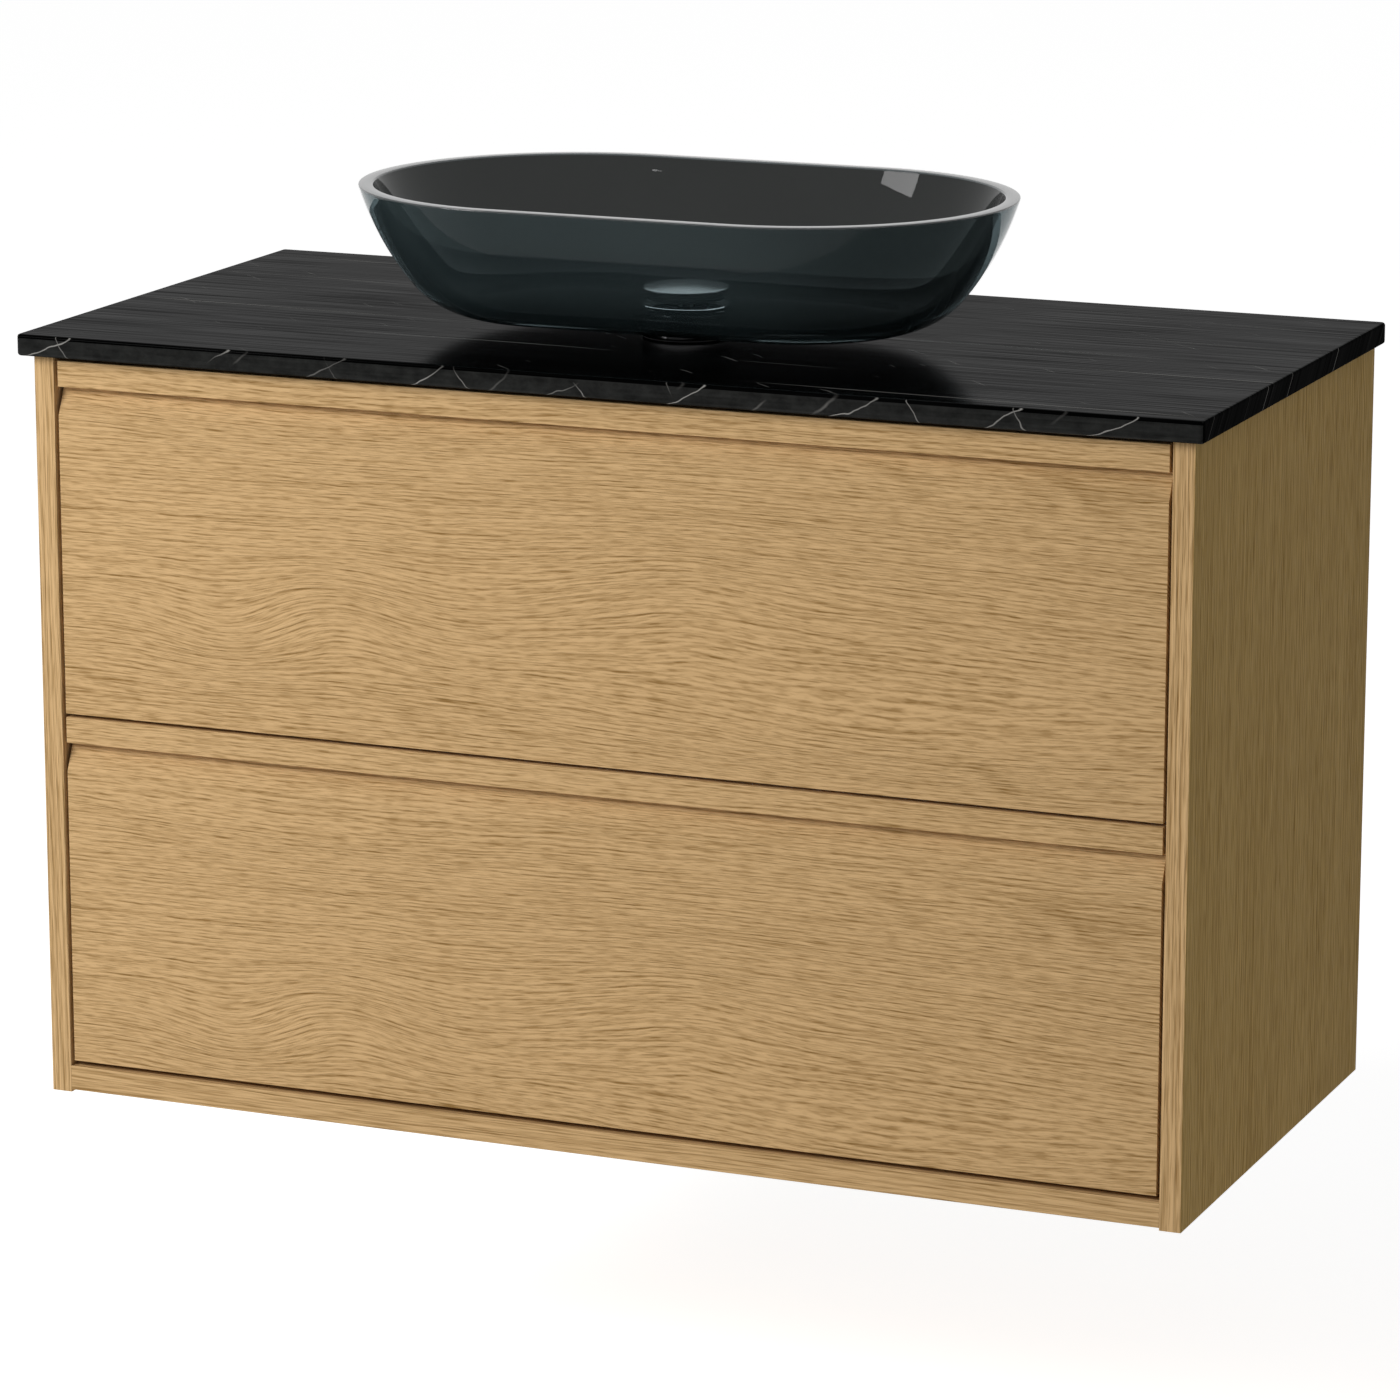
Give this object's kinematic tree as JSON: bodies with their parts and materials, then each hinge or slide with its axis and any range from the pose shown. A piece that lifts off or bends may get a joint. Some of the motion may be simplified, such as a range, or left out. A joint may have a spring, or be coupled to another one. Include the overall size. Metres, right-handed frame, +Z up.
{
  "type": "vanity unit with vessel sink",
  "caption": "Wall-hung bathroom vanity: oak drawer cabinet with finger-groove fronts, black marble-look countertop, smoked glass vessel bowl, pop-up waste and trap.",
  "frame": {"origin": "on the wall plane, midway between the two hanging bolt holes", "axes": "+X to the right seen from the front, +Y into the wall, +Z up; the front faces -Y"},
  "size_m": [1.02, 0.492, 0.769],
  "materials": {
    "oak_veneer": "oak veneer under satin lacquer",
    "black_laminate": "black marble-effect laminate on board, satin",
    "smoked_glass": "smoked blue-grey glass, polished",
    "chrome": "bright chrome plate",
    "black_rubber": "moulded rubber",
    "yellow_brass": "turned brass",
    "grey_plastic": "moulded plastic",
    "white_plastic": "moulded white plastic",
    "zinc_steel": "zinc-plated sheet steel",
    "beech": "fluted beech",
    "grey_foil_board": "light grey foil on board"
  },
  "bodies": {
    "cabinet": {"back_rail": "oak_veneer", "bottom_panel": "oak_veneer", "bowl_seal": "black_rubber", "carcass_dowels": "beech", "click_cartridge": "grey_plastic", "countertop": "black_laminate", "countertop_brackets": "zinc_steel", "countertop_screws": "zinc_steel", "cross_pipe": "white_plastic", "flange_seal": "black_rubber", "front_rail": "oak_veneer", "glass_bowl": "smoked_glass", "lower_back_rail": "oak_veneer", "lower_runner_fixed_left": "zinc_steel", "lower_runner_fixed_right": "zinc_steel", "mounting_ring": "chrome", "outlet_elbow": "white_plastic", "ring_gasket": "black_rubber", "runner_screws": "zinc_steel", "side_panel_left": "oak_veneer", "side_panel_right": "oak_veneer", "slip_nuts": "white_plastic", "tail_elbow": "white_plastic", "trap_bend": "white_plastic", "trap_elbow": "white_plastic", "upper_runner_fixed_left": "zinc_steel", "upper_runner_fixed_right": "zinc_steel", "wall_bracket_left": "zinc_steel", "wall_bracket_right": "zinc_steel", "wall_bracket_screws": "zinc_steel", "waste_flange": "chrome", "waste_nut": "yellow_brass", "waste_washer": "black_rubber"},
    "upper_drawer": {"upper_drawer_front": "oak_veneer", "upper_drawer_side_left": "grey_foil_board", "upper_drawer_side_right": "grey_foil_board", "upper_drawer_back": "grey_foil_board", "upper_drawer_bottom": "grey_foil_board", "upper_drawer_dowels": "beech", "upper_drawer_screws": "zinc_steel", "upper_front_brackets": "zinc_steel", "upper_runner_inner_left": "zinc_steel", "upper_runner_inner_right": "zinc_steel"},
    "lower_drawer": {"lower_drawer_front": "oak_veneer", "lower_drawer_side_left": "grey_foil_board", "lower_drawer_side_right": "grey_foil_board", "lower_drawer_back": "grey_foil_board", "lower_drawer_bottom": "grey_foil_board", "lower_drawer_dowels": "beech", "lower_drawer_screws": "zinc_steel", "lower_front_brackets": "zinc_steel", "lower_runner_inner_left": "zinc_steel", "lower_runner_inner_right": "zinc_steel"},
    "upper_runner_middles": {"upper_runner_middle_left": "zinc_steel", "upper_runner_middle_right": "zinc_steel"},
    "lower_runner_middles": {"lower_runner_middle_left": "zinc_steel", "lower_runner_middle_right": "zinc_steel"},
    "waste_cap": {"waste_cap": "chrome", "cap_seal": "black_rubber"}
  },
  "joints": [
    {"name": "upper_drawer_slide", "type": "slide", "parent": "cabinet", "child": "upper_drawer", "axis": [0, -1, 0], "range_m": [0, 0.34]},
    {"name": "upper_runner_slide", "type": "slide", "parent": "cabinet", "child": "upper_runner_middles", "axis": [0, -1, 0], "range_m": [0, 0.17]},
    {"name": "lower_drawer_slide", "type": "slide", "parent": "cabinet", "child": "lower_drawer", "axis": [0, -1, 0], "range_m": [0, 0.34]},
    {"name": "lower_runner_slide", "type": "slide", "parent": "cabinet", "child": "lower_runner_middles", "axis": [0, -1, 0], "range_m": [0, 0.17]},
    {"name": "waste_cap_press", "type": "slide", "parent": "cabinet", "child": "waste_cap", "axis": [0, 0, -1], "range_m": [0, 0.004], "stiffness_N_per_m": 400, "springref_m": -0.01}
  ],
  "couplings": [
    {"joint": "upper_runner_slide", "follows": "upper_drawer_slide", "ratio": 0.5},
    {"joint": "lower_runner_slide", "follows": "lower_drawer_slide", "ratio": 0.5}
  ]
}
